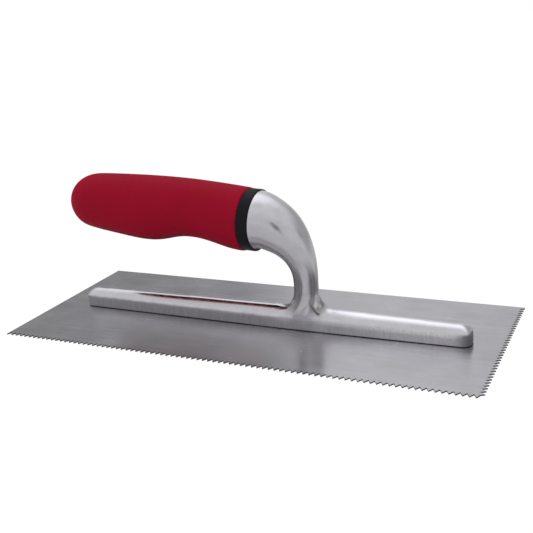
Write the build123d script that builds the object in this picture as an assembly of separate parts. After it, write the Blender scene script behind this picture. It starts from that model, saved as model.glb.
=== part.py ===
from build123d import *
import math
import os

# Notched trowel: a thin steel blade riveted under a cast aluminium mounting,
# whose curved neck carries a soft-grip handle.
# Millimetres, +Z up.  The origin is the middle of the blade's underside.
# +X runs along the blade towards the toe, and the long toothed edge is at -Y.

# ---- Blade
BLADE_LENGTH = 280.0
BLADE_WIDTH = 115.0
BLADE_THICKNESS = 0.7
TOOTH_COUNT_LONG = 87
TOOTH_PITCH = BLADE_LENGTH / TOOTH_COUNT_LONG
NOTCH_DEPTH = TOOTH_PITCH * math.cos(math.radians(30))
TOE_FIRST_TIP = 0.8
TOE_TIP_COUNT = 36

# ---- Bar of the mounting: widest under the neck, tapering to both ends
BAR_LENGTH = 242.0
BAR_MIDDLE_X = 1.6
BAR_HEEL_X = BAR_MIDDLE_X - BAR_LENGTH / 2
BAR_TOE_X = BAR_MIDDLE_X + BAR_LENGTH / 2
BAR_HALF_WIDTH = 7.7
BAR_END_HALF_WIDTH = 6.2
BAR_WIDE_PART = (10.0, 34.0)
BAR_HEEL_SHOULDER = 8.0
BAR_TOE_SHOULDER = 7.1
BAR_HEEL_RIDGE = 11.9
BAR_TOE_RIDGE = 11.6
BAR_RIDGE = 13.0
BAR_RIDGE_RADIUS = 4.6
BAR_HEEL_CORNER = 3.0
BAR_TOE_CORNER = 5.2
BAR_HEEL_ROUND = 4.5
BAR_TOE_ROUND = 7.0
BAR_FOOT_CHAMFER = 0.4
BAR_CROWN_MARGIN = 0.6

# ---- Handle axis: it starts at the neck's shoulder and rises to the rear
SHOULDER_X = 3.7
SHOULDER_Z = 61.7
HANDLE_TILT = 3.3

# ---- Neck of the mounting
NECK_X = 29.4
NECK_WAIST_Z = 26.6
BEND_START_PULL = 6.9
BEND_END_PULL = 24.4
BEND_END_LEAN = 2.0
# share of the bend's length, radius there
BEND_SECTIONS = [
    (0.0, 16.9),
    (0.12, 15.25),
    (0.28, 13.75),
    (0.46, 11.4),
    (0.64, 9.05),
    (0.82, 7.5),
    (1.0, 6.95),
]
# height, half length along X, half width along Y
ROOT_SECTIONS = [
    (22.6, 7.0, 6.95),
    (19.2, 7.6, 7.1),
    (16.8, 8.8, 7.3),
    (14.8, 10.5, 7.55),
    (13.2, 12.1, 7.8),
    (11.4, 13.3, 8.0),
    (8.8, 14.2, 8.2),
    (5.6, 14.6, 8.3),
    (2.0, 14.8, 8.35),
]

# ---- Tang, cast in one with the neck, and the plastic core it drives into
TANG_LENGTH = 82.0
TANG_FRONT = 14.0
TANG_REAR = 8.5
TANG_CORNER = 2.0
TANG_CLEARANCE = 0.1
COLLAR_LENGTH = 6.7
COLLAR_RADIUS = 17.45
COLLAR_EDGE = 0.5
CORE_LENGTH = 106.0
CORE_FRONT_RADIUS = 13.6
CORE_REAR_RADIUS = 9.6
CORE_END_ROUND = 4.0

# ---- Grip: a soft sleeve whose front face is the collar's rear face
GRIP_LENGTH = 117.5
GRIP_TOP_END_ROUND = 18.0
GRIP_TOP_END_POWER = 2.45
GRIP_BOTTOM_END_ROUND = 11.7
GRIP_BOTTOM_END_POWER = 1.8
GRIP_SIDE_END_ROUND = 19.0
GRIP_SIDE_END_POWER = 2.3
# distance behind the collar, height above the axis, depth below it, half width
GRIP_SECTIONS = [
    (0.0, 17.9, 18.0, 17.7),
    (4.0, 18.2, 18.25, 17.5),
    (8.0, 18.5, 18.0, 17.3),
    (13.0, 18.8, 17.15, 17.0),
    (18.0, 19.05, 16.05, 16.8),
    (24.0, 19.3, 14.85, 16.7),
    (30.0, 19.5, 14.1, 16.7),
    (36.0, 19.65, 13.95, 16.8),
    (42.0, 19.7, 14.6, 17.0),
    (48.0, 19.7, 16.1, 17.2),
    (54.0, 19.65, 17.8, 17.4),
    (60.0, 19.5, 18.9, 17.5),
    (66.0, 19.3, 19.2, 17.5),
    (73.0, 19.0, 18.9, 17.5),
    (80.0, 18.65, 18.3, 17.4),
    (88.0, 18.2, 17.5, 17.3),
    (96.0, 17.7, 16.7, 17.2),
]
GRIP_END_TOP = 15.9
GRIP_END_BOTTOM = 13.6
GRIP_END_SIDE = 17.0
GRIP_END_STEPS = 9
GRIP_END_TURN = 86.0

# ---- Countersunk rivets that hold the blade to the bar
RIVET_COUNT = 8
RIVET_SPACING = 30.0
RIVET_HEAD_RADIUS = 3.1
RIVET_HEAD_HEIGHT = 1.1
RIVET_SHANK_RADIUS = 2.0
RIVET_LENGTH = 6.4
RIVET_CLEARANCE = 0.02


def on_handle(shape):
    """Places a shape modelled along -X from the shoulder onto the handle's axis."""
    return Pos(SHOULDER_X, 0, SHOULDER_Z) * Rot(0, HANDLE_TILT, 0) * shape


def handle_plane(distance, rise=0.0):
    """Plane across the handle, that far behind the shoulder, with +Z up on it."""
    return Plane(origin=(-distance, 0, rise), x_dir=(0, 1, 0), z_dir=(-1, 0, 0))


def comb_points(tips, depth, overhang):
    """Outline of a row of V notches that opens towards -Y, from the first tip to the last."""
    points = [(tips[0], -overhang), (tips[0], 0.0)]
    for first, second in zip(tips[:-1], tips[1:]):
        points.append(((first + second) / 2, depth))
        points.append((second, 0.0))
    points.append((tips[-1], -overhang))
    return points


def blade():
    outline = Rectangle(BLADE_LENGTH, BLADE_WIDTH)
    long_tips = [-BLADE_LENGTH / 2 + TOOTH_PITCH * i for i in range(TOOTH_COUNT_LONG + 1)]
    long_comb = make_face(Polyline(*comb_points(long_tips, NOTCH_DEPTH, NOTCH_DEPTH), close=True))
    toe_tips = [TOE_FIRST_TIP + TOOTH_PITCH * j for j in range(TOE_TIP_COUNT)]
    toe_comb = make_face(Polyline(*comb_points(toe_tips, NOTCH_DEPTH, NOTCH_DEPTH), close=True))
    outline -= Pos(0, -BLADE_WIDTH / 2) * long_comb
    outline -= Pos(BLADE_LENGTH / 2, -BLADE_WIDTH / 2) * Rot(0, 0, 90) * toe_comb
    # where the two rows meet, the last chip of the corner falls away
    whole = outline.faces().sort_by(SortBy.AREA)[-1]
    plate = extrude(whole, BLADE_THICKNESS)
    for x in rivet_places():
        plate -= Pos(x, 0, 0) * rivet_blank(RIVET_CLEARANCE)
    return plate


def rivet_places():
    first = BAR_MIDDLE_X - RIVET_SPACING * (RIVET_COUNT - 1) / 2
    return [first + RIVET_SPACING * i for i in range(RIVET_COUNT)]


def rivet_blank(clearance):
    """Countersunk head, flush with the blade's underside, and a plain shank above it."""
    head = Cone(
        RIVET_HEAD_RADIUS + clearance,
        RIVET_SHANK_RADIUS + clearance,
        RIVET_HEAD_HEIGHT,
        align=(Align.CENTER, Align.CENTER, Align.MIN),
    )
    shank = Cylinder(
        RIVET_SHANK_RADIUS + clearance,
        RIVET_LENGTH + clearance,
        align=(Align.CENTER, Align.CENTER, Align.MIN),
    )
    return head + shank


def crown_section(x, half, ridge):
    """Cross-section under the bar's ridged top, a little wider than the bar itself."""
    along = (x - BAR_HEEL_X) / BAR_LENGTH
    shoulder = BAR_HEEL_SHOULDER + (BAR_TOE_SHOULDER - BAR_HEEL_SHOULDER) * along
    # each slope runs straight from the shoulder and touches the rounded ridge
    centre = ridge - BAR_RIDGE_RADIUS
    away = math.hypot(half, centre - shoulder)
    slope = math.atan2(centre - shoulder, half) + math.asin(BAR_RIDGE_RADIUS / away)
    touch_y = BAR_RIDGE_RADIUS * math.sin(slope)
    touch_z = centre + BAR_RIDGE_RADIUS * math.cos(slope)
    low_y = half + BAR_CROWN_MARGIN
    low_z = shoulder - BAR_CROWN_MARGIN * math.tan(slope)
    left = Polyline((-touch_y, touch_z), (-low_y, low_z), (-low_y, 0))
    right = Polyline((low_y, 0), (low_y, low_z), (touch_y, touch_z))
    base = Line((-low_y, 0), (low_y, 0))
    crest = ThreePointArc((touch_y, touch_z), (0, ridge), (-touch_y, touch_z))
    return Plane(origin=(x, 0, 0), x_dir=(0, 1, 0), z_dir=(1, 0, 0)) * make_face(left + base + right + crest)


def end_cutter(end_x, outward, ridge, radius):
    """What lies beyond the rounding of the bar's top edge at one end."""
    low = (end_x, ridge - radius)
    high = (end_x - outward * radius, ridge)
    lean = radius * (1 - math.sqrt(0.5))
    middle = (end_x - outward * lean, ridge - lean)
    far_x = end_x + outward * radius
    far_z = ridge + radius
    outside = Polyline(high, (high[0], far_z), (far_x, far_z), (far_x, low[1]), low)
    profile = make_face(ThreePointArc(low, middle, high) + outside)
    return extrude(Plane.XZ * profile, BAR_HALF_WIDTH * 2, both=True)


def bar():
    """Long foot of the mounting: upright sides, a ridged top and rounded ends."""
    half = BAR_HALF_WIDTH
    end_half = BAR_END_HALF_WIDTH
    wide_start, wide_end = BAR_WIDE_PART
    corners = [
        (BAR_HEEL_X, -end_half),
        (wide_start, -half),
        (wide_end, -half),
        (BAR_TOE_X, -end_half),
        (BAR_TOE_X, end_half),
        (wide_end, half),
        (wide_start, half),
        (BAR_HEEL_X, end_half),
    ]
    plan = make_face(Polyline(*corners, close=True))
    plan = fillet(plan.vertices().group_by(Axis.X)[0], BAR_HEEL_CORNER)
    plan = fillet(plan.vertices().group_by(Axis.X)[-1], BAR_TOE_CORNER)
    body = Pos(0, 0, BLADE_THICKNESS) * extrude(plan, BAR_RIDGE)

    stations = [
        (BAR_HEEL_X - BAR_CROWN_MARGIN, end_half, BAR_HEEL_RIDGE),
        (wide_start, half, BAR_RIDGE),
        (wide_end, half, BAR_RIDGE),
        (BAR_TOE_X + BAR_CROWN_MARGIN, end_half, BAR_TOE_RIDGE),
    ]
    body &= loft([crown_section(x, width, ridge) for x, width, ridge in stations], ruled=True)

    body -= end_cutter(BAR_HEEL_X, -1, BAR_HEEL_RIDGE, BAR_HEEL_ROUND)
    body -= end_cutter(BAR_TOE_X, 1, BAR_TOE_RIDGE, BAR_TOE_ROUND)

    foot = body.faces().sort_by(Axis.Z)[0]
    return chamfer(foot.edges(), BAR_FOOT_CHAMFER)


def neck():
    """Curved neck, from the handle's shoulder down to the flared root inside the bar."""
    start = Vector(SHOULDER_X, 0, SHOULDER_Z)
    end = Vector(NECK_X, 0, NECK_WAIST_Z)
    start_pull = Vector(BEND_START_PULL, 0, 0).rotate(Axis.Y, HANDLE_TILT)
    end_pull = Vector(0, 0, BEND_END_PULL).rotate(Axis.Y, BEND_END_LEAN)
    bend = Bezier(start, start + start_pull, end + end_pull, end)
    sections = []
    for share, radius in BEND_SECTIONS:
        across = Plane(origin=bend @ share, x_dir=(0, 1, 0), z_dir=bend % share)
        sections.append(across * Circle(radius))
    for height, half_length, half_width in ROOT_SECTIONS:
        level = Plane(origin=(NECK_X, 0, height), x_dir=(0, 1, 0), z_dir=(0, 0, -1))
        sections.append(level * Ellipse(half_width, half_length))
    return loft(sections)


def tang_blank(length, clearance):
    """Square, tapered tang behind the shoulder, fuller by the clearance on each face."""
    front = TANG_FRONT + 2 * clearance
    rear = TANG_REAR + 2 * clearance
    corner = TANG_CORNER + clearance
    sections = [
        handle_plane(0) * RectangleRounded(front, front, corner),
        handle_plane(length) * RectangleRounded(rear, rear, corner),
    ]
    return on_handle(loft(sections))


def mounting():
    casting = bar() + neck() + tang_blank(TANG_LENGTH, 0)
    for x in rivet_places():
        casting -= Pos(x, 0, 0) * rivet_blank(RIVET_CLEARANCE)
    return casting


def rivet(x):
    return Pos(x, 0, 0) * rivet_blank(0)


def collar():
    """Black ring between the shoulder and the grip."""
    middle = COLLAR_LENGTH / 2
    ring = Pos(-middle, 0, 0) * Rot(0, 90, 0) * Cylinder(COLLAR_RADIUS, COLLAR_LENGTH)
    ring = chamfer(ring.edges().filter_by(GeomType.CIRCLE), COLLAR_EDGE)
    return on_handle(ring) - tang_blank(TANG_LENGTH, TANG_CLEARANCE)


def core_blank(clearance):
    """Tapered plug with a rounded rear end, which the grip is moulded over."""
    front = CORE_FRONT_RADIUS + clearance
    rear = CORE_REAR_RADIUS + clearance
    middle = -COLLAR_LENGTH - CORE_LENGTH / 2
    plug = Pos(middle, 0, 0) * Rot(0, -90, 0) * Cone(front, rear, CORE_LENGTH)
    rear_edge = plug.edges().filter_by(GeomType.CIRCLE).sort_by(Axis.X)[0]
    return fillet(rear_edge, CORE_END_ROUND)


def handle_core():
    return on_handle(core_blank(0)) - tang_blank(TANG_LENGTH, TANG_CLEARANCE)


def end_share(left, round_length, power):
    """Share of the full size that is left at a distance from the rounded rear end."""
    depth = max(0.0, 1 - left / round_length)
    return (1 - depth**power) ** (1 / power)


def grip():
    """Soft sleeve: oval sections with a finger hollow underneath and a rounded rear end."""
    outline = list(GRIP_SECTIONS)
    last = GRIP_SECTIONS[-1][0]
    for step in range(1, GRIP_END_STEPS + 1):
        turn = math.radians(GRIP_END_TURN * step / GRIP_END_STEPS)
        distance = last + (GRIP_LENGTH - last) * math.sin(turn)
        share = (distance - last) / (GRIP_LENGTH - last)
        top = GRIP_SECTIONS[-1][1] + (GRIP_END_TOP - GRIP_SECTIONS[-1][1]) * share
        bottom = GRIP_SECTIONS[-1][2] + (GRIP_END_BOTTOM - GRIP_SECTIONS[-1][2]) * share
        side = GRIP_SECTIONS[-1][3] + (GRIP_END_SIDE - GRIP_SECTIONS[-1][3]) * share
        outline.append((distance, top, bottom, side))

    sections = []
    for distance, top, bottom, side in outline:
        left = GRIP_LENGTH - distance
        top *= end_share(left, GRIP_TOP_END_ROUND, GRIP_TOP_END_POWER)
        bottom *= end_share(left, GRIP_BOTTOM_END_ROUND, GRIP_BOTTOM_END_POWER)
        side *= end_share(left, GRIP_SIDE_END_ROUND, GRIP_SIDE_END_POWER)
        plane = handle_plane(COLLAR_LENGTH + distance, (top - bottom) / 2)
        sections.append(plane * Ellipse(side, (top + bottom) / 2))
    sleeve = on_handle(loft(sections))
    return sleeve - on_handle(core_blank(0))


os.makedirs("parts", exist_ok=True)
nodes = {
    "blade": blade(),
    "mounting": mounting(),
    "collar": collar(),
    "handle_core": handle_core(),
    "grip": grip(),
}
for number, x in enumerate(rivet_places(), start=1):
    nodes[f"rivet_{number}"] = rivet(x)
for name, shape in nodes.items():
    export_step(shape, f"parts/{name}.step")
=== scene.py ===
import math

import bpy
import numpy as np
from mathutils import Matrix, Vector


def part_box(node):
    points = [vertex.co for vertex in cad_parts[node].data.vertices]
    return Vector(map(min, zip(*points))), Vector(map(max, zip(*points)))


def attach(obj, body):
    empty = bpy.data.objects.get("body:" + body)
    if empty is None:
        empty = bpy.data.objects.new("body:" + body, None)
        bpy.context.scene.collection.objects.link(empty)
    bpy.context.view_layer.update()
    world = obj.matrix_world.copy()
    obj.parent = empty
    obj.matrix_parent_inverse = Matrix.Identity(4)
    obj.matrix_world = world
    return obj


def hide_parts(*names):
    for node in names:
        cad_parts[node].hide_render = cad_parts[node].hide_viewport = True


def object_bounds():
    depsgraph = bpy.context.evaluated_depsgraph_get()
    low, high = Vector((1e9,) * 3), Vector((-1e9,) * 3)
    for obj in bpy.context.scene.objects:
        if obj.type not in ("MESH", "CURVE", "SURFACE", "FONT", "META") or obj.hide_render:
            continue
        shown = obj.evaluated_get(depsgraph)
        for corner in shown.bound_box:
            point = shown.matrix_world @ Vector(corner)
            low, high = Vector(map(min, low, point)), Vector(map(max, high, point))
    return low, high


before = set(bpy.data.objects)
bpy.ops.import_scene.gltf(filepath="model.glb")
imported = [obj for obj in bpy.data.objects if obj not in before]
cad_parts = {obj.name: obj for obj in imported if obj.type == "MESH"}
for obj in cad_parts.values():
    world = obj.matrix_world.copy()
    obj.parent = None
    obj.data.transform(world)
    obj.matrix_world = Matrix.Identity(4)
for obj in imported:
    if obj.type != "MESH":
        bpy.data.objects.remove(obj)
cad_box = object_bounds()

# Looks of the notched trowel.  Metres, in the CAD's own frame: +X to the toe,
# the toothed long edge at -Y, +Z up, and the origin under the blade's middle.

MM = 0.001

# ---- Handle and shoulder
HANDLE_TILT = math.radians(3.3)
COLLAR_LENGTH = 6.7 * MM
TANG_REACH = 10.0 * MM                    # the tang lies within this of the handle's axis
SHOULDER_REACH = 20.0 * MM                # and the shoulder's rim within this
SHOULDER_DRAW = 2.5 * MM
ON_PLANE = 0.05 * MM

# ---- Neck
NECK_X = 29.4 * MM
BEND_X, BEND_Z = 2.2 * MM, 28.0 * MM      # the middle that the neck bends round

# ---- Refined meshes: each softening has its steps, and the stretches it fades in and out over
CASTING_VOXEL = 0.5 * MM
EDGE_STEPS = 14
EDGE_ABOVE = (0.5 * MM, 1.6 * MM)         # above the bar's foot, which stays sharp
CREST_STEPS = 26
CREST_FROM = (8.5 * MM, 10.5 * MM)
CREST_UP_TO = (14 * MM, 16 * MM)
TOE_TOP_STEPS = 60
TOE_TOP_FROM = (5.0 * MM, 7.0 * MM)
TOE_STRETCH_FROM = (40 * MM, 60 * MM)
TOE_STRETCH_UP_TO = (111 * MM, 119 * MM)
ROOT_STEPS = 80
ROOT_AWAY = (12 * MM, 20 * MM)            # along the bar, from the neck's middle
ROOT_FROM = (4.0 * MM, 8.0 * MM)
ROOT_UP_TO = (17 * MM, 24 * MM)
GRIP_VOXEL = 0.9 * MM
GRIP_STEPS = 30
GRIP_BEHIND = (0.0, 6.0 * MM)             # behind the collar, where the grip's rim stays sharp

# ---- Where the casting's skin changes
SKIN_TOP = (8.2 * MM, 7.2 * MM)
SKIN_WAVE = 0.4 * MM
SKIN_TOEWARD = (0.0, 90 * MM)
SKIN_TOE_END = (114 * MM, 121 * MM)
SEAM_SHADE_TOP = (1.0 * MM, 1.4 * MM)
NECK_FROM = (14 * MM, 22 * MM)
FOOT_FROM = (9 * MM, 14 * MM)
FOOT_UP_TO = (30 * MM, 44 * MM)
FOOT_AWAY = (10 * MM, 14 * MM)
BEND_INSIDE = (21.0 * MM, 26.5 * MM)
RIDGE_HIGHLIGHT_PAST = (45 * MM, 60 * MM)
RIDGE_HIGHLIGHT_FROM = (10.0 * MM, 11.8 * MM)
LINE_DRAW = 0.8 * MM                      # how far the lines' noise runs in one radian of the bend

# ---- Tones of the bare metals: one for all of a place, or the two ends of its mottling
CAST_BUFFED = (0.62, 0.69)
# painted highlight along the ridge past the neck
CAST_RIDGE_HIGHLIGHT = 0.80
# inside the bend: partly duller where the wheel doesn't reach, partly a painted reflection
CAST_BEND_DULL_AND_REFLECTION = 0.23
CAST_SKIN_DULL = (0.37, 0.64)             # at the heel and at the toe
CAST_SKIN_BARE = (0.46, 0.78)
# the toe's end: partly duller, partly a painted reflection
CAST_TOE_END_DULL_AND_REFLECTION = 0.24
CAST_WORN = 0.66
# painted shade along the bar's foot, where it meets the blade
CAST_SEAM_SHADE = 0.07
SHEET_TONES = (0.495, 0.560)
# the cut edges: dull sheared steel, darkened further as painted shade
CUT_AND_SHADE_TONE = 0.15
RIVET_TONES = (0.42, 0.55)

# ---- Colours
# streaks at the neck's foot: polishing marks and painted reflections
FOOT_STREAK_AND_REFLECTION = (0.250, 0.238, 0.231, 1.0)
GRIP_DEEP = (0.358, 0.0037, 0.0225, 1.0)
GRIP_CLEAR = (0.396, 0.0044, 0.0262, 1.0)
# painted shade on the grip's underside
GRIP_UNDER_SHADE = (0.150, 0.0060, 0.0140, 1.0)
COLLAR_DARK = (0.007, 0.0075, 0.009, 1.0)
COLLAR_LIGHT = (0.011, 0.012, 0.014, 1.0)
CORE_DARK = (0.030, 0.030, 0.032, 1.0)
CORE_LIGHT = (0.050, 0.050, 0.052, 1.0)

# ---- Mottling: the stretch of a noise that runs from one tone or roughness to the other
MOTTLE = (0.35, 0.65)
WIDE_MOTTLE = (0.3, 0.7)
SKIN_MOTTLE = (0.40, 0.60)
STREAKS = (0.40, 0.56)
STREAK_SHARE = 0.85
WORN = (0.52, 0.58)                       # of sharpness
WORN_SHARE = 0.7
WALL_TILT = (0.3, 0.8)                    # of the normal's Z
UNDER_SHADE_TILT = (-0.70, -0.96)

# ---- Roughness, at the two ends of each mottling
BUFFED_ROUGH = (0.14, 0.24)
TUMBLED_ROUGH = (0.38, 0.52)
SHEET_ROUGH = (0.21, 0.29)
CUT_ROUGH = 0.55
RIVET_ROUGH = (0.25, 0.45)
GRIP_ROUGH = (0.56, 0.66)
COLLAR_ROUGH = (0.40, 0.52)
CORE_ROUGH = (0.40, 0.55)

# ---- Depths of the surface relief, and how much each of its layers counts in the casting's
PITS_WHERE_BUFFED = 0.05
LINES_SHARE = 0.45
FINE_SHARE = 0.06
CAST_RELIEF = 0.05 * MM
SHEET_RELIEF = 0.004 * MM
RIVET_RELIEF = 0.02 * MM
PLASTIC_RELIEF = 0.03 * MM

# ---- Camera, placed about the blade's middle
IMAGE_SIDE = 533
CAMERA_PLACE = (0.21162, -0.41110, 0.18981)
CAMERA_TURN = math.radians(25.323)
CAMERA_DROP = math.radians(18.740)
CAMERA_ROLL = math.radians(3.995)
FOCAL_PIXELS = 856.27
SENSOR_WIDTH = 36.0
CAMERA_SHIFT = -0.0347

# ---- Studio.  Directions point out from the trowel, and greys are the room's brightness.
FLOOR_HALF = 3.0
FLOOR_GAP = 0.05 * MM
FLOOR_TONE = 0.76
FLOOR_GLOW = 0.9
FLOOR_WHITE = 1.06
BACK_LEFT = 0.26
BACK_STEPS = (                            # from X, to X, and the grey past it
    (-0.45, -0.36, 0.71),
    (-0.28, -0.14, 0.62),
    (-0.05, 0.15, 0.45),
)
BACK_FROM = (-0.1, 0.3)
FRONT_GREY = 0.66
FRONT_DARKS = (                           # direction, half width, half height and grey
    ((0.420, -0.850, 0.250), 0.10, 0.24, 0.04),
    ((0.895, 0.304, 0.300), 0.26, 0.14, 0.30),
)
DARK_EDGE = (0.70, 1.20)
CEILING_FROM = (0.42, 0.75)
CEILING_GREY = 0.75
TOP_LIGHT = (-0.20, 0.32, 0.92)
TOP_LIGHT_EDGE = 0.80
TOP_LIGHT_COLOUR = (1.32, 1.32, 1.38, 1.0)


# ------------------------------------------------------------------ mesh tools
def smoothstep(low, high, value):
    share = np.clip((value - low) / (high - low), 0.0, 1.0)
    return share * share * (3 - 2 * share)


def between(start, end, value):
    """One between two stretches, fading in over the first and out over the second."""
    return smoothstep(*start, value) * (1 - smoothstep(*end, value))


def mesh_points(mesh):
    points = np.empty(len(mesh.vertices) * 3)
    mesh.vertices.foreach_get("co", points)
    return points.reshape(-1, 3)


def mesh_edges(mesh):
    edges = np.empty(len(mesh.edges) * 2, dtype=np.int64)
    mesh.edges.foreach_get("vertices", edges)
    return edges.reshape(-1, 2)


def set_points(mesh, points):
    mesh.vertices.foreach_set("co", points.ravel())
    mesh.update()


def even_copy(node, name, voxel, reshape=None):
    """A closely and evenly meshed copy of a CAD node, which may be reshaped first."""
    piece = bpy.data.objects.new(name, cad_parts[node].data.copy())
    if reshape:
        set_points(piece.data, reshape(mesh_points(piece.data)))
    bpy.context.scene.collection.objects.link(piece)
    remesh = piece.modifiers.new("even", "REMESH")
    remesh.mode = "VOXEL"
    remesh.voxel_size = voxel
    view = bpy.context.evaluated_depsgraph_get()
    mesh = bpy.data.meshes.new_from_object(piece.evaluated_get(view))
    piece.modifiers.clear()
    piece.data = mesh
    mesh.name = name
    mesh.materials.clear()
    mesh.polygons.foreach_set("use_smooth", [True] * len(mesh.polygons))
    return piece


def relax(points, edges, weight, steps):
    """Moves every point towards the middle of its neighbours, by its own weight."""
    first, second = edges[:, 0], edges[:, 1]
    size = len(points)
    count = np.bincount(edges.ravel(), minlength=size)
    for _ in range(steps):
        middle = np.empty_like(points)
        for axis in range(3):
            value = points[:, axis]
            middle[:, axis] = np.bincount(first, value[second], size)
            middle[:, axis] += np.bincount(second, value[first], size)
        middle /= count[:, None]
        points = points + (middle - points) * weight[:, None]
    return points


# ------------------------------------------------------------------ node tools
def add_node(tree, kind, inputs=(), **settings):
    """Adds a shader node; an input is either a fixed value or a socket to link from."""
    node = tree.nodes.new(kind)
    for key, value in settings.items():
        setattr(node, key, value)
    for key, value in dict(inputs).items():
        if isinstance(value, bpy.types.NodeSocket):
            tree.links.new(value, node.inputs[key])
        else:
            node.inputs[key].default_value = value
    return node


def new_material(name, fixed):
    """A material with a Principled shader whose listed sockets are fixed."""
    material = bpy.data.materials.new(name)
    material.use_nodes = True
    tree = material.node_tree
    shader = tree.nodes["Principled BSDF"]
    for key, value in fixed.items():
        shader.inputs[key].default_value = value
    place = tree.nodes.new("ShaderNodeTexCoord").outputs["Object"]
    return material, tree, shader, place


def stretched(tree, place, scale):
    """A place whose axes are scaled, so that noise is drawn out along the least scaled one."""
    return add_node(tree, "ShaderNodeMapping", {"Vector": place, "Scale": scale}).outputs[0]


def noise(tree, place, scale, detail=3.0, roughness=0.5):
    """Noise between nought and one, with so many features to a metre."""
    inputs = {"Vector": place, "Scale": scale, "Detail": detail, "Roughness": roughness}
    return add_node(tree, "ShaderNodeTexNoise", inputs).outputs["Fac"]


def remap(tree, value, low, high, to_low, to_high):
    inputs = {0: value, 1: low, 2: high, 3: to_low, 4: to_high}
    return add_node(tree, "ShaderNodeMapRange", inputs).outputs[0]


def ramp_up(tree, value, low, high):
    return remap(tree, value, low, high, 0.0, 1.0)


def ramp_down(tree, value, low, high):
    return remap(tree, value, low, high, 1.0, 0.0)


def combine(tree, how, first, second):
    return add_node(tree, "ShaderNodeMath", {0: first, 1: second}, operation=how).outputs[0]


def add(tree, first, second):
    return combine(tree, "ADD", first, second)


def times(tree, first, second):
    return combine(tree, "MULTIPLY", first, second)


def minus(tree, first, second):
    return combine(tree, "SUBTRACT", first, second)


def size_of(tree, value):
    """A number without its sign."""
    return combine(tree, "ABSOLUTE", value, 0.0)


def hypotenuse(tree, first, second):
    squares = add(tree, times(tree, first, first), times(tree, second, second))
    return combine(tree, "POWER", squares, 0.5)


def vector_maths(tree, how, first, second=None):
    inputs = {0: first} if second is None else {0: first, 1: second}
    return add_node(tree, "ShaderNodeVectorMath", inputs, operation=how).outputs


def blend_value(tree, share, first, second):
    return add_node(tree, "ShaderNodeMix", {0: share, 2: first, 3: second}).outputs[0]


def blend_colour(tree, share, first, second):
    node = add_node(tree, "ShaderNodeMix", data_type="RGBA")
    for index, value in ((0, share), (6, first), (7, second)):
        if isinstance(value, bpy.types.NodeSocket):
            tree.links.new(value, node.inputs[index])
        else:
            node.inputs[index].default_value = value
    return node.outputs[2]


def coordinates(tree, vector):
    return add_node(tree, "ShaderNodeSeparateXYZ", {0: vector}).outputs


def surface(tree, name):
    return add_node(tree, "ShaderNodeNewGeometry").outputs[name]


def sharpness(tree):
    """Above one half where the surface is turned outward, as along an edge."""
    return surface(tree, "Pointiness")


def on_walls(tree):
    """One on walls that stand straight up, and nought on level faces."""
    level = coordinates(tree, surface(tree, "True Normal"))["Z"]
    return ramp_down(tree, size_of(tree, level), *WALL_TILT)


def bump(tree, shader, height, depth):
    inputs = {"Height": height, "Distance": depth, "Strength": 1.0}
    tree.links.new(add_node(tree, "ShaderNodeBump", inputs).outputs[0], shader.inputs["Normal"])


def grey(value):
    return (value, value, value, 1.0)


def metal(value):
    """A bare metal's colour, a touch cooler than grey."""
    return (value, 0.985 * value, 1.035 * value, 1.0)


# ------------------------------------------------------------------ cast aluminium
def round_the_bend(tree, parts):
    """Distance from the middle of the bend, and a place whose third axis runs round it."""
    across = minus(tree, parts["X"], BEND_X)
    rise = minus(tree, parts["Z"], BEND_Z)
    radius = hypotenuse(tree, across, rise)
    around = times(tree, combine(tree, "ARCTAN2", rise, across), LINE_DRAW)
    turned = add_node(tree, "ShaderNodeCombineXYZ", {0: radius, 1: parts["Y"], 2: around})
    return radius, turned.outputs[0]


def foot_of_neck(tree, parts):
    rising = ramp_up(tree, parts["Z"], *FOOT_FROM)
    height = times(tree, rising, ramp_down(tree, parts["Z"], *FOOT_UP_TO))
    away = size_of(tree, minus(tree, parts["X"], NECK_X))
    return times(tree, height, ramp_down(tree, away, *FOOT_AWAY))


def buffed_colour(tree, parts, cloud, radius, turned, on_neck):
    """Bright; darker inside the bend, partly duller where the wheel doesn't reach and partly a
    painted reflection; and streaked at the foot with polishing marks and painted reflections.
    """
    colour = blend_colour(tree, ramp_up(tree, cloud, *MOTTLE), *map(metal, CAST_BUFFED))
    # darker inside the bend: partly duller metal, partly a painted reflection
    bend_dull_and_reflection = times(tree, on_neck, ramp_down(tree, radius, *BEND_INSIDE))
    colour = blend_colour(tree, bend_dull_and_reflection, colour, metal(CAST_BEND_DULL_AND_REFLECTION))
    # streaks at the neck's foot, partly polishing marks and partly painted reflections
    streaks_and_reflections = remap(tree, noise(tree, turned, 260.0, 2.0, 0.5), *STREAKS, 0.0, STREAK_SHARE)
    streaks_and_reflections = times(tree, streaks_and_reflections, foot_of_neck(tree, parts))
    colour = blend_colour(tree, streaks_and_reflections, colour, FOOT_STREAK_AND_REFLECTION)
    # past the neck the ridge is painted brighter: a painted highlight that widens the lamp's
    # reflection along it
    past = ramp_up(tree, parts["X"], *RIDGE_HIGHLIGHT_PAST)
    ridge_highlight = times(tree, past, ramp_up(tree, parts["Z"], *RIDGE_HIGHLIGHT_FROM))
    return blend_colour(tree, ridge_highlight, colour, metal(CAST_RIDGE_HIGHLIGHT))


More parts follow.
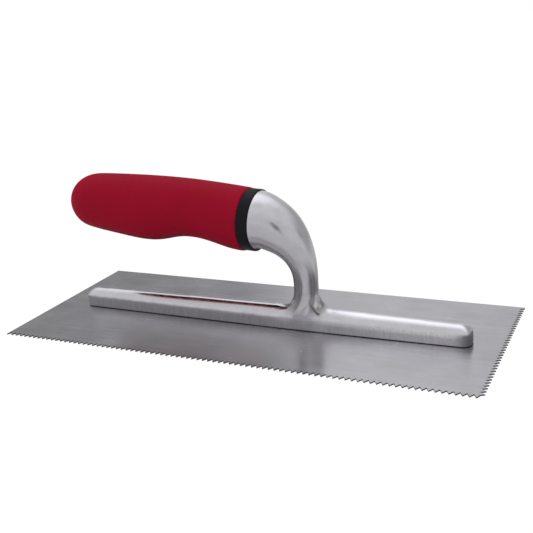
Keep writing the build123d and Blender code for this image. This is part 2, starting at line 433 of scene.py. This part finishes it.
def tumbled_colour(tree, parts, place, grain):
    """Mottled, darker towards the heel, darker at the toe's end where it is partly duller and
    partly a painted reflection, bright on worn edges, and with a painted shade line along its
    foot.
    """
    toeward = ramp_up(tree, parts["X"], *SKIN_TOEWARD)
    dull = blend_colour(tree, toeward, *map(metal, CAST_SKIN_DULL))
    bare = blend_colour(tree, toeward, *map(metal, CAST_SKIN_BARE))
    marks = noise(tree, stretched(tree, place, (1.0, 1.0, 0.15)), 900.0, 3.0, 0.6)
    mottle = add(tree, times(tree, grain, 0.5), times(tree, marks, 0.5))
    colour = blend_colour(tree, ramp_up(tree, mottle, *SKIN_MOTTLE), dull, bare)
    # the toe's end darker: partly duller metal, partly a painted reflection
    toe_end_dull_and_reflection = ramp_up(tree, parts["X"], *SKIN_TOE_END)
    colour = blend_colour(tree, toe_end_dull_and_reflection, colour, metal(CAST_TOE_END_DULL_AND_REFLECTION))
    worn = remap(tree, sharpness(tree), *WORN, 0.0, WORN_SHARE)
    colour = blend_colour(tree, worn, colour, metal(CAST_WORN))
    # painted shade in the seam along the bar's foot, where it meets the blade
    seam_shade = ramp_down(tree, parts["Z"], *SEAM_SHADE_TOP)
    return blend_colour(tree, seam_shade, colour, metal(CAST_SEAM_SHADE))


def cast_aluminium():
    """Buffed on the neck and the ridge, and left with its tumbled skin on the sides."""
    material, tree, shader, place = new_material("cast_aluminium", {"Metallic": 1.0})
    cloud = noise(tree, place, 140.0, 4.0, 0.6)
    grain = noise(tree, place, 1500.0, 3.0, 0.6)
    fine = noise(tree, place, 4200.0, 2.0, 0.5)

    parts = coordinates(tree, place)
    wave = remap(tree, cloud, *WIDE_MOTTLE, -SKIN_WAVE, SKIN_WAVE)
    side = ramp_up(tree, add(tree, parts["Z"], wave), *SKIN_TOP)
    on_neck = ramp_up(tree, parts["Z"], *NECK_FROM)
    radius, turned = round_the_bend(tree, parts)

    bright = buffed_colour(tree, parts, cloud, radius, turned, on_neck)
    skin = tumbled_colour(tree, parts, place, grain)
    tree.links.new(blend_colour(tree, side, bright, skin), shader.inputs["Base Color"])

    buffed = remap(tree, cloud, *WIDE_MOTTLE, *BUFFED_ROUGH)
    tumbled = remap(tree, grain, *WIDE_MOTTLE, *TUMBLED_ROUGH)
    tree.links.new(blend_value(tree, side, buffed, tumbled), shader.inputs["Roughness"])

    # fine pits on the skin, and polishing lines round the neck
    polish = noise(tree, turned, 700.0, 3.0, 0.6)
    pits = times(tree, grain, remap(tree, side, 0.0, 1.0, PITS_WHERE_BUFFED, 1.0))
    lines = times(tree, polish, times(tree, on_neck, LINES_SHARE))
    relief = add(tree, add(tree, pits, lines), times(tree, fine, FINE_SHARE))
    bump(tree, shader, relief, CAST_RELIEF)
    return material


# ------------------------------------------------------------------ other materials
def blade_steel():
    """Cold-rolled sheet with fine lines and faint clouds, and dull where it is cut; the cut edges
    are also darkened with painted shade.
    """
    fixed = {"Metallic": 1.0, "Anisotropic": 0.88}
    material, tree, shader, place = new_material("blade_steel", fixed)
    across = add_node(tree, "ShaderNodeTangent", direction_type="RADIAL", axis="X").outputs[0]
    tree.links.new(across, shader.inputs["Tangent"])
    lines = noise(tree, stretched(tree, place, (0.02, 1.0, 1.0)), 2600.0, 3.0, 0.6)
    broad = noise(tree, stretched(tree, place, (0.08, 1.0, 1.0)), 420.0, 3.0, 0.6)
    cloud = noise(tree, place, 35.0, 4.0, 0.6)
    tone = add(tree, times(tree, cloud, 0.6), times(tree, broad, 0.4))

    # cut edges: duller and rougher, and darkened as painted shade
    cut_and_shade = on_walls(tree)
    colour = blend_colour(tree, ramp_up(tree, tone, *MOTTLE), *map(metal, SHEET_TONES))
    colour = blend_colour(tree, cut_and_shade, colour, metal(CUT_AND_SHADE_TONE))
    tree.links.new(colour, shader.inputs["Base Color"])
    sheet = remap(tree, tone, *WIDE_MOTTLE, *SHEET_ROUGH)
    tree.links.new(blend_value(tree, cut_and_shade, sheet, CUT_ROUGH), shader.inputs["Roughness"])
    bump(tree, shader, add(tree, lines, times(tree, broad, 0.3)), SHEET_RELIEF)
    return material


def rivet_steel():
    """Ground flush with the blade, along its underside."""
    material, tree, shader, place = new_material("rivet_steel", {"Metallic": 1.0})
    lines = noise(tree, stretched(tree, place, (0.04, 1.0, 1.0)), 3000.0, 3.0, 0.6)
    cloud = noise(tree, place, 300.0)
    colour = blend_colour(tree, ramp_up(tree, cloud, *MOTTLE), *map(metal, RIVET_TONES))
    tree.links.new(colour, shader.inputs["Base Color"])
    tree.links.new(remap(tree, lines, *WIDE_MOTTLE, *RIVET_ROUGH), shader.inputs["Roughness"])
    bump(tree, shader, lines, RIVET_RELIEF)
    return material


def moulded_plastic(name, dark, light, rough):
    """Satin plastic with a faint cloud and a fine grain."""
    fixed = {"IOR": 1.45, "Specular IOR Level": 0.15}
    material, tree, shader, place = new_material(name, fixed)
    grain = noise(tree, place, 2600.0, 2.0, 0.5)
    cloud = noise(tree, place, 120.0, 3.0, 0.5)
    tree.links.new(blend_colour(tree, cloud, dark, light), shader.inputs["Base Color"])
    tree.links.new(remap(tree, cloud, *WIDE_MOTTLE, *rough), shader.inputs["Roughness"])
    bump(tree, shader, grain, PLASTIC_RELIEF)
    return material


def soft_grip():
    """Matt red rubber with a fine velvety grain, and painted shade darkening its underside."""
    fixed = {"IOR": 1.40, "Specular IOR Level": 0.10}
    material, tree, shader, place = new_material("red_soft_grip", fixed)
    grain = noise(tree, place, 2400.0, 2.0, 0.6)
    cloud = noise(tree, place, 60.0, 4.0, 0.6)
    colour = blend_colour(tree, ramp_up(tree, cloud, *WIDE_MOTTLE), GRIP_DEEP, GRIP_CLEAR)
    level = coordinates(tree, surface(tree, "Normal"))["Z"]
    # painted shade on the faces that turn downward
    under_shade = ramp_up(tree, level, *UNDER_SHADE_TILT)
    tree.links.new(blend_colour(tree, under_shade, colour, GRIP_UNDER_SHADE), shader.inputs["Base Color"])
    tree.links.new(remap(tree, cloud, *WIDE_MOTTLE, *GRIP_ROUGH), shader.inputs["Roughness"])
    bump(tree, shader, grain, PLASTIC_RELIEF)
    return material


# ------------------------------------------------------------------ pieces
def handle_frame():
    """Middle of the collar and the direction of the handle, from the collar to its rear."""
    low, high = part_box("collar")
    rearward = np.array((-math.cos(HANDLE_TILT), 0.0, math.sin(HANDLE_TILT)))
    return np.array((low + high) / 2), rearward


def past_shoulder(points):
    """How far each point lies past the shoulder's plane, and whether it is in its ring."""
    middle, rearward = handle_frame()
    past = (points - middle) @ rearward + COLLAR_LENGTH / 2
    radius = np.linalg.norm(np.cross(points - middle, rearward), axis=1)
    return past, (radius > TANG_REACH) & (radius < SHOULDER_REACH)


def draw_shoulder(points):
    """Draws the shoulder's rim out into the collar."""
    past, ring = past_shoulder(points)
    points[ring & (np.abs(past) < ON_PLANE)] += SHOULDER_DRAW * handle_frame()[1]
    return points


def trim_shoulder(points):
    """Takes the drawn-out rim back to the shoulder's plane, which leaves its edge crisp."""
    past, ring = past_shoulder(points)
    back = ring & (past > 0)
    points[back] -= past[back, None] * handle_frame()[1]
    return points


def casting():
    """The mounting with its edges softened and the neck's root run smoothly into the bar."""
    piece = even_copy("mounting", "mounting_casting", CASTING_VOXEL, draw_shoulder)
    mesh = piece.data
    points, edges = mesh_points(mesh), mesh_edges(mesh)
    above = points[:, 2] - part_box("mounting")[0].z
    points = relax(points, edges, 0.5 * smoothstep(*EDGE_ABOVE, above), EDGE_STEPS)
    crown = between(CREST_FROM, CREST_UP_TO, points[:, 2])
    points = relax(points, edges, 0.5 * crown, CREST_STEPS)

    # past the neck the bar's top is rounder
    toeward = between(TOE_STRETCH_FROM, TOE_STRETCH_UP_TO, points[:, 0])
    top = between(TOE_TOP_FROM, CREST_UP_TO, points[:, 2])
    points = relax(points, edges, 0.5 * top * toeward, TOE_TOP_STEPS)

    near = 1 - smoothstep(*ROOT_AWAY, np.abs(points[:, 0] - NECK_X))
    level = between(ROOT_FROM, ROOT_UP_TO, points[:, 2])
    points = relax(points, edges, 0.5 * near * level, ROOT_STEPS)
    set_points(mesh, trim_shoulder(points))
    return piece


def grip_sleeve():
    """The grip with its creases softened, except at its rim by the collar."""
    piece = even_copy("grip", "grip_sleeve", GRIP_VOXEL)
    mesh = piece.data
    points, edges = mesh_points(mesh), mesh_edges(mesh)
    middle, rearward = handle_frame()
    behind = (points - middle) @ rearward - COLLAR_LENGTH / 2
    soften = 0.5 * smoothstep(*GRIP_BEHIND, behind) + 0.04
    set_points(mesh, relax(points, edges, soften, GRIP_STEPS))
    return piece


def finish(piece, node, material):
    """Dresses a refined piece and puts it in its CAD node's place."""
    piece.data.materials.append(material)
    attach(piece, "root")
    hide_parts(node)


def dress_cad_parts():
    """Gives the CAD parts that are seen as they are their materials."""
    carried = {
        "blade": blade_steel(),
        "collar": moulded_plastic("black_plastic", COLLAR_DARK, COLLAR_LIGHT, COLLAR_ROUGH),
        "handle_core": moulded_plastic("core_plastic", CORE_DARK, CORE_LIGHT, CORE_ROUGH),
    }
    ground = rivet_steel()
    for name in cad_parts:
        if name.startswith("rivet"):
            carried[name] = ground
    for name, material in carried.items():
        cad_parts[name].data.materials[0] = material


# ------------------------------------------------------------------ studio
def back_light(tree, parts):
    """Behind the trowel: dark to the left, bright in the middle, duller to the right."""
    colour = grey(BACK_LEFT)
    for start, end, glow in BACK_STEPS:
        colour = blend_colour(tree, ramp_up(tree, parts["X"], start, end), colour, grey(glow))
    return colour


def front_light(tree, direction):
    """In front of it: pale, with a dark place by the camera and another past the toe."""
    colour = grey(FRONT_GREY)
    for centre, width, height, glow in FRONT_DARKS:
        away = vector_maths(tree, "SUBTRACT", direction, centre)[0]
        away = vector_maths(tree, "MULTIPLY", away, (1 / width, 1 / width, 1 / height))[0]
        away = vector_maths(tree, "LENGTH", away)["Value"]
        colour = blend_colour(tree, ramp_down(tree, away, *DARK_EDGE), colour, grey(glow))
    return colour


def world_light():
    """A dim studio with a bright ceiling and a soft lamp in it; white where it is seen."""
    world = bpy.data.worlds.new("studio")
    bpy.context.scene.world = world
    world.use_nodes = True
    tree = world.node_tree
    tree.nodes.clear()
    direction = tree.nodes.new("ShaderNodeTexCoord").outputs["Generated"]
    parts = coordinates(tree, direction)

    behind = ramp_up(tree, parts["Y"], *BACK_FROM)
    walls = blend_colour(tree, behind, front_light(tree, direction), back_light(tree, parts))
    ceiling = ramp_up(tree, parts["Z"], *CEILING_FROM)
    room = blend_colour(tree, ceiling, walls, grey(CEILING_GREY))
    towards = Vector(TOP_LIGHT).normalized()
    facing = vector_maths(tree, "DOT_PRODUCT", direction, towards)["Value"]
    lamp = ramp_up(tree, facing, TOP_LIGHT_EDGE, 1.0)
    sky = blend_colour(tree, lamp, room, TOP_LIGHT_COLOUR)
    seen = add_node(tree, "ShaderNodeLightPath").outputs["Is Camera Ray"]
    colour = blend_colour(tree, seen, sky, grey(1.0))
    light = add_node(tree, "ShaderNodeBackground", {"Color": colour, "Strength": 1.0})
    out = tree.nodes.new("ShaderNodeOutputWorld")
    tree.links.new(light.outputs[0], out.inputs[0])


def floor_material():
    """Mostly self-lit where it is seen, so that the floor stays an even white."""
    material = bpy.data.materials.new("floor")
    material.use_nodes = True
    tree = material.node_tree
    shader = tree.nodes["Principled BSDF"]
    shader.inputs["Base Color"].default_value = grey(FLOOR_TONE)
    shader.inputs["Roughness"].default_value = 0.9
    shader.inputs["Specular IOR Level"].default_value = 0.0
    glow = add_node(tree, "ShaderNodeEmission", {"Color": grey(1.0), "Strength": FLOOR_WHITE})
    seen = add_node(tree, "ShaderNodeLightPath").outputs["Is Camera Ray"]
    share = times(tree, seen, FLOOR_GLOW)
    inputs = {0: share, 1: shader.outputs[0], 2: glow.outputs[0]}
    mixed = add_node(tree, "ShaderNodeMixShader", inputs)
    tree.links.new(mixed.outputs[0], tree.nodes["Material Output"].inputs["Surface"])
    return material


def floor():
    half = FLOOR_HALF
    mesh = bpy.data.meshes.new("floor")
    corners = [(-half, -half, 0), (half, -half, 0), (half, half, 0), (-half, half, 0)]
    mesh.from_pydata(corners, [], [(0, 1, 2, 3)])
    obj = bpy.data.objects.new("floor", mesh)
    bpy.context.scene.collection.objects.link(obj)
    obj.location.z = cad_box[0].z - FLOOR_GAP
    mesh.materials.append(floor_material())


def camera():
    turn, drop, roll = CAMERA_TURN, CAMERA_DROP, CAMERA_ROLL
    level_ahead = Vector((-math.sin(turn), math.cos(turn), 0)) * math.cos(drop)
    ahead = level_ahead - Vector((0, 0, math.sin(drop)))
    level = ahead.cross(Vector((0, 0, 1))).normalized()
    steep = level.cross(ahead)
    right = level * math.cos(roll) - steep * math.sin(roll)
    up = right.cross(ahead)
    data = bpy.data.cameras.new("camera")
    data.sensor_width = SENSOR_WIDTH
    data.lens = FOCAL_PIXELS / IMAGE_SIDE * SENSOR_WIDTH
    data.shift_x = CAMERA_SHIFT
    data.clip_start = 0.01
    data.clip_end = 20.0
    obj = bpy.data.objects.new("camera", data)
    bpy.context.scene.collection.objects.link(obj)
    turned = Matrix((right, up, -ahead)).transposed().to_4x4()
    obj.matrix_world = Matrix.Translation(CAMERA_PLACE) @ turned
    bpy.context.scene.camera = obj


finish(casting(), "mounting", cast_aluminium())
finish(grip_sleeve(), "grip", soft_grip())
dress_cad_parts()
world_light()
floor()
camera()
bpy.context.scene.view_settings.view_transform = "Standard"
